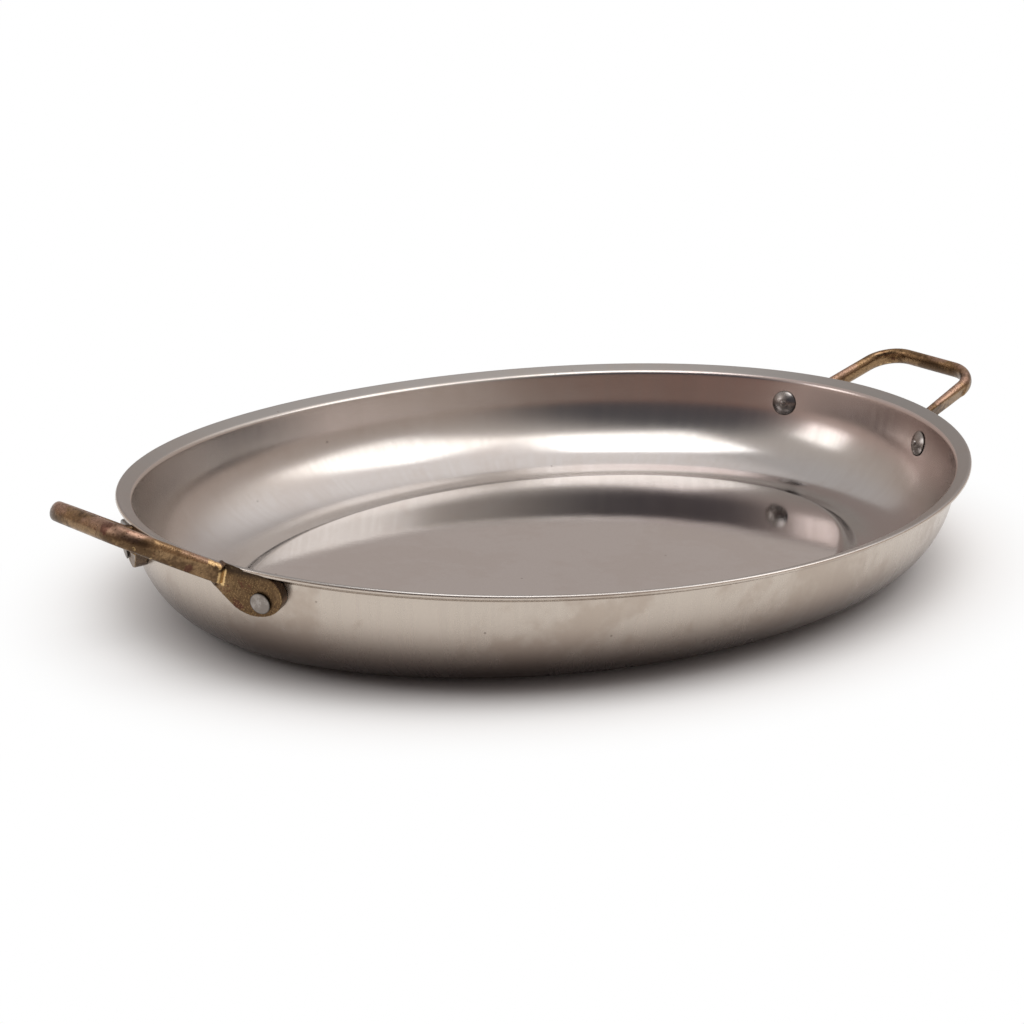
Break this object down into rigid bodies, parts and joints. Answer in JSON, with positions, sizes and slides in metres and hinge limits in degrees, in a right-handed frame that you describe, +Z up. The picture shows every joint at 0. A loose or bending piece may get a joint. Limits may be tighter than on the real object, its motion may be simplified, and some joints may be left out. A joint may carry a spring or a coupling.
{
  "type": "oval serving dish",
  "caption": "Shallow oval steel serving dish with a flared lip and a U-shaped brass handle riveted under the rim at each end.",
  "frame": {"origin": "middle of the oval dish, on the surface that it stands on", "axes": "+X along the dish to its right handle, +Y across it to the back, +Z up out of the open top"},
  "size_m": [0.42, 0.2598, 0.0585],
  "materials": {
    "steel": "satin, brushed outside, with a smoother inside",
    "brass": "aged cast brass with a dark patina, worn bright on the edges",
    "rivet_metal": "dull outside, smooth inside the dish"
  },
  "bodies": {
    "root": {"dish_body": "steel", "handle_left": "brass", "handle_right": "brass", "rivet_left_front": "rivet_metal", "rivet_left_back": "rivet_metal", "rivet_right_front": "rivet_metal", "rivet_right_back": "rivet_metal"}
  },
  "joints": []
}
